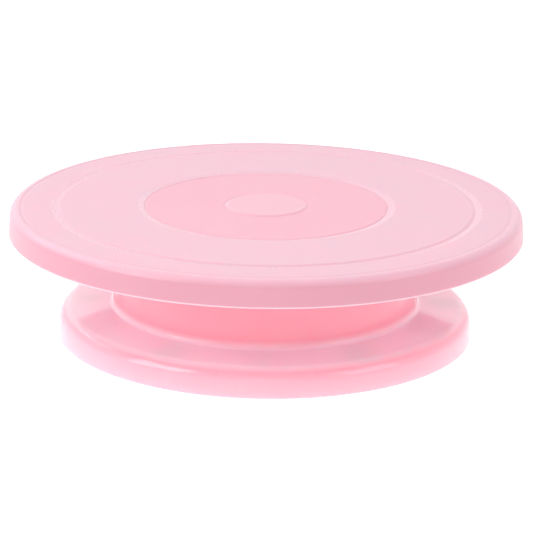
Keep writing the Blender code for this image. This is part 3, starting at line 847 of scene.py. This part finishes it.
# %% The base's outline
flange_slope = -0.8 / 19.7
round_start = FOOT_RADIUS - FLANGE_ROUND
edge_top = FLANGE_TOP + flange_slope * (round_start - DRUM_FOOT - DRUM_FILLET)
edge_centre = edge_top - FLANGE_ROUND
corner_r = drafted(FOOT_RADIUS, edge_centre, FLANGE_ROUND, FOOT_LOW, edge_top)
foot_r = drafted(FOOT_RADIUS, edge_centre, FLANGE_ROUND, FOOT_LOW, FOOT_LOW)
corner_z = edge_top + flange_slope * (corner_r - round_start)
channel_roof = BALL_Z - TRACK_GROOVE - BASE_WALL
drum_root = DRUM_FOOT + 0.13 * MM
drum_root_z = FLANGE_TOP + 0.1 * MM
deck_corners = [
    (BORE_RADIUS, SLEEVE_END + 4.0 * MM, 0),
    (BORE_RADIUS, DECK_TOP, 0.5 * MM),
    (TRACK_RADIUS - TRACK_HALF, DECK_TOP, 0.6 * MM),
    (TRACK_RADIUS - TRACK_HALF, TRACK_FACE, 0.3 * MM),
    (TRACK_RADIUS - TRACK_LIP, TRACK_FACE, 0),
]
lower_track = arc(TRACK_RADIUS, BALL_Z, TRACK_GROOVE, 180 + lip_angle, 360 - lip_angle, 15)
shell_corners = [
    (TRACK_RADIUS + TRACK_LIP, TRACK_FACE, 0),
    (TRACK_RADIUS + TRACK_HALF, TRACK_FACE, 0.3 * MM),
    (TRACK_RADIUS + TRACK_HALF, DECK_TOP, 0.6 * MM),
    (DECK_EDGE, DECK_TOP, 2.0 * MM),
    (drum_root, drum_root_z, DRUM_FILLET),
    (corner_r, corner_z, FLANGE_ROUND),
    (foot_r, FOOT_LOW, 0.5 * MM),
    (foot_r - BASE_WALL, FOOT_LOW, 0.5 * MM),
    (corner_r - BASE_WALL, corner_z - BASE_WALL, FLANGE_ROUND - BASE_WALL),
    (drum_root - BASE_WALL, drum_root_z - BASE_WALL, DRUM_FILLET + BASE_WALL),
    (DECK_EDGE - BASE_WALL, DECK_UNDER, 1.2 * MM),
    (TRACK_RADIUS + TRACK_HALF - BASE_WALL, DECK_UNDER, 0.5 * MM),
    (TRACK_RADIUS + TRACK_HALF - BASE_WALL, channel_roof, 0.6 * MM),
    (TRACK_RADIUS - TRACK_HALF + BASE_WALL, channel_roof, 0.6 * MM),
    (TRACK_RADIUS - TRACK_HALF + BASE_WALL, DECK_UNDER, 0.5 * MM),
    (BORE_RADIUS + BORE_WALL, DECK_UNDER, 0.8 * MM),
    (BORE_RADIUS + BORE_WALL, SLEEVE_END, 0.5 * MM),
    (BORE_RADIUS, SLEEVE_END, 0.4 * MM),
    (BORE_RADIUS, SLEEVE_END + 3.9 * MM, 0),
]
deck_path, shell_path = rounded(deck_corners, 7.5), rounded(shell_corners, 7.5)
base_path = filled(np.concatenate([deck_path, lower_track, shell_path]), 6.0 * MM)
base_shape = turned(base_path, 200, closed=True)
base_nodes = ["base_foot", "base_drum", "bearing_deck"]
make_piece("base_shell", base_shape, gloss_pink, "base", base_nodes)

# %% [markdown]
# Under the deck and the flange run ribs, and six short posts hold the rubber pads. A flange rib's
# root follows the wall over it: level under the flat, then down the inside of the edge round,
# which is a circle, so its height is the centre's plus the square root of radius squared less
# distance squared. The distance stops just short of the radius, where the circle would turn
# upright.

# %% Deck ribs
DECK_RIBS = 8
deck_start, deck_end = BORE_RADIUS + BORE_WALL - RIB_WELD, DECK_EDGE - BASE_WALL + 0.9 * MM
deck_radii = np.linspace(deck_start, deck_end, 12)
deck_foot = level(deck_radii, DECK_UNDER - 7.0 * MM)
deck_rib = blade(deck_radii, level(deck_radii, DECK_UNDER), deck_foot)
deck_ring = set_round(*deck_rib, DECK_RIBS, math.tau / DECK_RIBS / 2)
make_piece("deck_ribs", deck_ring, gloss_pink, "base", ["bearing_deck"], sharp=40.0)

# %% Flange ribs
FLANGE_RIBS = 6
rib_end = FOOT_RADIUS - BASE_WALL / 2
flange_radii = np.linspace(DRUM_FOOT + DRUM_FILLET, rib_end, 22)
middle_round = FLANGE_ROUND - BASE_WALL / 2
beyond = np.clip(flange_radii - round_start, 0, middle_round * 0.985)
under_wall = edge_centre - BASE_WALL / 2 + np.sqrt(middle_round ** 2 - beyond ** 2)
flange_rib = blade(flange_radii, under_wall, level(flange_radii, 3.0 * MM), root=0.5 * MM)
flange_ring = set_round(*flange_rib, FLANGE_RIBS, math.tau / FLANGE_RIBS / 2)
make_piece(
    "flange_ribs", flange_ring, gloss_pink, "base", ["base_foot"], sharp=40.0
)

# %% Pad posts
seat = PAD_TOP + 0.3 * MM
post_end = seat - 1.0 * MM
post_top = edge_top - BASE_WALL + 0.9 * MM
post_out, post_in = PAD_RADIUS + 1.9 * MM, PAD_RADIUS + 0.3 * MM
post_corners = [
    (0.0, post_top, 0),
    (post_out, post_top, 0),
    (post_out, post_end, 0.35 * MM),
    (post_in, post_end, 0.2 * MM),
    (post_in, seat, 0.2 * MM),
    (0.0, seat, 0),
]
post_points, post_faces = turned(filled(rounded(post_corners), 4.0 * MM), 64)
posts = set_round(post_points + [PAD_RING, 0, 0], post_faces, len(pad_nodes))
make_piece("pad_posts", posts, gloss_pink, "base", ["base_foot"])

# %% [markdown]
# ## The ball ring
#
# The cage is a flat ring with twenty round pockets. Holes cut with a Boolean would leave long
# thin triangles that shade badly, so one pocket is drawn in its own slice of the ring: a circle
# inside the four-sided outline of the slice, with points of the one joined straight to points of
# the other. The slices share their sides, so merging their points makes one closed ring.

# %% One slice of the cage
BALLS = len(ball_nodes)
CAGE_IN = 57.2 * MM
CAGE_OUT = cage_high[0]


def cage_slice(per_side=10, chamfer=0.2 * MM):
    """Rings of points from the pocket's wall to the slice's outline, mirrored for the underside.

    The outline is a rectangle in (angle, radius), and x = r cos a, y = r sin a. A point of the
    pocket = its centre + pocket radius * unit vector towards the outline's point.
    """
    u = np.linspace(-1, 1, per_side, endpoint=False)
    one = np.ones(per_side)
    side_a = np.concatenate([u, one, -u, -one])
    side_r = np.concatenate([-one, u, one, -u])
    half_a = math.pi / BALLS
    middle = (CAGE_IN + CAGE_OUT) / 2
    half_r = (CAGE_OUT - CAGE_IN) / 2

    def outline(trim):
        r = middle + side_r * (half_r - trim)
        return np.stack([r * np.cos(side_a * half_a), r * np.sin(side_a * half_a)], axis=1)

    full, trimmed = outline(0.0), outline(chamfer)
    toward = full - [TRACK_RADIUS, 0]
    toward = toward / np.linalg.norm(toward, axis=1)[:, None]
    pocket = BALL_RADIUS + 0.3 * MM
    hole = [TRACK_RADIUS, 0] + toward * pocket
    eased = [TRACK_RADIUS, 0] + toward * (pocket + chamfer)
    mid = eased + (trimmed - eased) * 0.5
    top, shoulder = cage_high[2], cage_high[2] - chamfer
    base, ledge = cage_low[2], cage_low[2] + chamfer
    rings = [(hole, shoulder), (eased, top), (mid, top), (trimmed, top), (full, shoulder)]
    rings += [(full, ledge), (trimmed, base), (mid, base), (eased, base), (hole, ledge)]
    points = np.concatenate([np.column_stack([xy, np.full(len(xy), z)]) for xy, z in rings])
    n = len(side_a)
    index = np.arange(len(points)).reshape(len(rings), n)
    next_column = np.roll(index, -1, axis=1)
    radial_side = (np.arange(n) // per_side) % 2 == 1
    faces = []
    for k in range(len(rings)):
        after = (k + 1) % len(rings)
        keep = ~radial_side if k in (3, 4, 5) else np.full(n, True)
        quads = np.stack([index[k], next_column[k], next_column[after], index[after]], axis=1)
        faces += quads[keep].tolist()
    return points, faces


cage = set_round(*cage_slice(), BALLS)
make_piece("ball_cage_ring", cage, milky_acetal, "cage", ["ball_cage"])

# %% [markdown]
# A bearing ball is as round as anything made. Blender's own sphere would do, and so does a half
# circle carried round the axis by the function that turned the plate. It is moved to its pocket.
# The record says which body each ball rolls on, and each ball rides on its own.

# %% The balls
half_circle = arc(0.0, 0.0, BALL_RADIUS, 90, -90, 22)
half_circle[[0, -1], 0] = 0.0
ball_points, ball_faces = turned(half_circle, 36)
bodies = frame["record"]["behaviour"]["bodies"]
rides_on = {node: body for body, nodes in bodies.items() for node in nodes}
for name in ball_nodes:
    low, high = (np.array(corner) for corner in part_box(name))
    shape = (ball_points + (low + high) / 2, ball_faces)
    make_piece("fine_" + name, shape, lapped_steel, rides_on[name], [name])

# %% [markdown]
# ## The fixing
#
# The screw and its broad washer keep the plate from lifting off. The washer is stamped, so its
# edges are eased. The screw is one grid: round the axis one way, and from the tip over the
# thread, under the head and over its face the other way. A Screw modifier can wind a thread, but
# the thread's ends stay open, and here they fade into the core. The thread winds because its
# radius depends on both the height and the angle.

# %% The washer
washer_out = washer_high[0]
washer_bore = 2.5 * MM
washer_middle = (washer_low[2] + washer_high[2]) / 2
washer_corners = [
    (washer_bore, washer_middle - 0.01 * MM, 0),
    (washer_bore, washer_high[2], 0.25 * MM),
    (washer_out, washer_high[2], 0.35 * MM),
    (washer_out, washer_low[2], 0.45 * MM),
    (washer_bore, washer_low[2], 0.25 * MM),
    (washer_bore, washer_middle - 0.02 * MM, 0),
]
washer = turned(filled(rounded(washer_corners), 3.0 * MM), 96, closed=True)
make_piece("fine_washer", washer, zinc, "plate", ["retaining_washer"])


# %% The screw
def screw_shape(columns=96):
    """The thread's crest lies where height / pitch - angle / 360 is a whole number and a half.

    The cross recess starts at a star-shaped rim. Its radius is the smaller of the arm's length and
    half the arm's width over the sine of the angle to the nearest arm, and the rings inside it
    shrink towards the middle as they go into the head.
    """
    tip, face = screw_high[2], screw_low[2]
    under_head = face + 3.0 * MM
    a = np.arange(columns) * math.tau / columns
    crest, core, pitch = 2.2 * MM, 1.65 * MM, 1.4 * MM
    head_radius, arm_length, arm_half = 4.5 * MM, 2.6 * MM, 0.55 * MM
    thread_top = tip - 0.8 * MM
    heights = np.linspace(thread_top, under_head + 0.6 * MM, 110)
    turns = np.mod(heights[None, :] / pitch - a[:, None] / math.tau, 1.0)
    ridge = np.clip(1.0 - np.abs(turns - 0.5) / 0.36, 0, 1)
    fade_in = smooth_step((thread_top - heights) / (1.4 * MM))
    fade_out = smooth_step((heights - under_head) / (1.6 * MM))
    thread_r = core + (crest - core) * ridge * (fade_in * fade_out)[None, :]
    head = rounded([
        (core, under_head + 0.6 * MM, 0),
        (core, under_head, 0.3 * MM),
        (head_radius, under_head, 0.2 * MM),
        (head_radius, face, 1.4 * MM),
        (2.9 * MM, face, 0),
    ])
    nearest = np.abs(np.mod(a + math.pi / 4, math.pi / 2) - math.pi / 4)
    flank = arm_half / np.maximum(np.sin(nearest), 0.01)
    rim = (flank ** -8.0 + arm_length ** -8.0) ** (-1 / 8)
    scales = np.array([1.0, 0.97, 0.80, 0.62, 0.30])
    depths = np.array([0.0, 0.15, 0.85, 1.45, 1.65]) * MM
    r = np.concatenate([
        np.zeros((columns, 1)),
        np.full((columns, 1), 1.0 * MM),
        thread_r,
        np.broadcast_to(head[1:, 0], (columns, len(head) - 1)),
        rim[:, None] * scales,
        np.zeros((columns, 1)),
    ], axis=1)
    z = np.concatenate([[tip, tip], heights, head[1:, 1], face + depths, [face + 1.75 * MM]])
    x, y = r * np.cos(a)[:, None], r * np.sin(a)[:, None]
    points = np.stack([x, y, np.broadcast_to(z, r.shape)], axis=-1)
    index = np.arange(r.size).reshape(r.shape)
    return points.reshape(-1, 3), woven(index, True, False).tolist()


make_piece("fine_screw", screw_shape(), zinc, "plate", ["retaining_screw"])

# %% [markdown]
# ## Foot pads
#
# Each pad is a rubber disc pressed into its post. Its sole has fine rings that grip the table:
# its height goes up into the rubber by a quarter of a millimetre once in every millimetre and a
# half of radius.

# %% The pads
SOLE_DEPTH, SOLE_PITCH = 0.25 * MM, 1.5 * MM
sole_r = np.linspace(PAD_RADIUS - 1.0 * MM, 0.0, 60)
sole_wave = smooth_step(2.2 * np.cos(math.tau * sole_r / SOLE_PITCH) - 0.4)
sole_z = SOLE_DEPTH * sole_wave * (sole_r > 0.9 * MM)
pad_side = rounded([
    (0.0, PAD_TOP, 0),
    (PAD_RADIUS, PAD_TOP, 0.2 * MM),
    (PAD_RADIUS, 0.0, 0.45 * MM),
    (PAD_RADIUS - 0.9 * MM, 0.0, 0),
])
pad_path = np.concatenate([filled(pad_side, 2.5 * MM), np.stack([sole_r, sole_z], axis=1)])
pad_points, pad_faces = turned(pad_path, 72)
for name in pad_nodes:
    low, high = (np.array(corner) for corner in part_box(name))
    shape = (pad_points + (low + high) / 2 * [1, 1, 0], pad_faces)
    make_piece("fine_" + name, shape, grey_rubber, "base", [name])

# %% [markdown]
# ## The studio
#
# The object stands on a white table that glows a little, as a lit product table does, so that no
# shadow shows and light comes up under the flange. Lamps alone would leave a shadow there. The
# room is white and dimmer towards the camera. One large soft light hangs to the back and left,
# two lower ones stand in front at the sides, the left one stronger, and a weak one stands low in
# front, so that light also reaches in under the plate.

# %% Floor
REACH = 6
floor_corners = [(-REACH, -REACH, 0), (REACH, -REACH, 0), (REACH, REACH, 0), (-REACH, REACH, 0)]
floor_mesh = bpy.data.meshes.new("floor")
floor_mesh.from_pydata(floor_corners, [], [(0, 1, 2, 3)])
floor = bpy.data.objects.new("floor", floor_mesh)
bpy.context.scene.collection.objects.link(floor)
white_table = start_finish("white_light_table", {
    "Base Color": linear("#101010"), "Roughness": 1.0, "Specular IOR Level": 0.0,
    "Emission Color": (1.0, 1.0, 1.0, 1.0), "Emission Strength": 1.35,
})[0]
floor_mesh.materials.append(white_table)
print("table", 2 * REACH, "m across")

# %% Room and lights
world = bpy.data.worlds.new("white_room")
bpy.context.scene.world = world
world.use_nodes = True
tree = world.node_tree
room = tree.nodes["Background"]
direction = add(tree, "ShaderNodeTexCoord", {}).outputs["Generated"]
parts = add(tree, "ShaderNodeSeparateXYZ", {"Vector": direction})
gain = add(
    tree, "ShaderNodeMapRange",
    {
        "Value": parts.outputs["Y"],
        "From Min": -1.0, "From Max": 1.0, "To Min": 0.38, "To Max": 1.15,
    },
)
room.inputs["Color"].default_value = (1.0, 1.0, 1.0, 1.0)
tree.links.new(gain.outputs["Result"], room.inputs["Strength"])
for name, place_xyz, size, power in (
    ("key_light", (-1.5, 1.1, 1.7), 1.4, 10.0),
    ("left_light", (-1.07, -0.62, 0.66), 0.8, 8.8),
    ("right_light", (1.07, -0.62, 0.66), 0.8, 5.0),
    ("low_light", (0.0, -1.5, 0.22), 0.7, 2.0),
):
    light = bpy.data.lights.new(name, "AREA")
    light.shape = "SQUARE"
    light.size = size
    light.energy = power
    lamp = bpy.data.objects.new(name, light)
    lamp.location = place_xyz
    lamp.rotation_euler = Vector(place_xyz).to_track_quat("Z", "Y").to_euler()
    bpy.context.scene.collection.objects.link(lamp)
    print("%-12s %.1f W from %.2f m away" % (name, power, Vector(place_xyz).length))
bpy.context.scene.view_settings.view_transform = "Standard"

# %% [markdown]
# ## The camera
#
# The camera is a long lens, a little over a metre away and 17 degrees above the table, leaning by
# less than a degree. A long lens keeps the ellipses of the plate and the base alike in shape.

# %% Camera
lens = bpy.data.cameras.new("camera")
lens.lens = 156.6
lens.sensor_width = 36.0
lens.shift_x = 0.0017
lens.shift_y = -0.0008
camera = bpy.data.objects.new("camera", lens)
rise = math.radians(17.27)
roll = math.radians(0.81)
distance = 1.2813
target = Vector((0.0, 0.0, 0.0364))
camera.location = target + distance * Vector((0.0, -math.cos(rise), math.sin(rise)))
turn = Matrix.Rotation(math.pi / 2 - rise, 4, "X") @ Matrix.Rotation(roll, 4, "Z")
camera.rotation_euler = turn.to_euler()
bpy.context.scene.collection.objects.link(camera)
bpy.context.scene.camera = camera
print("camera %.2f m away, %.1f degrees up" % (distance, math.degrees(rise)))
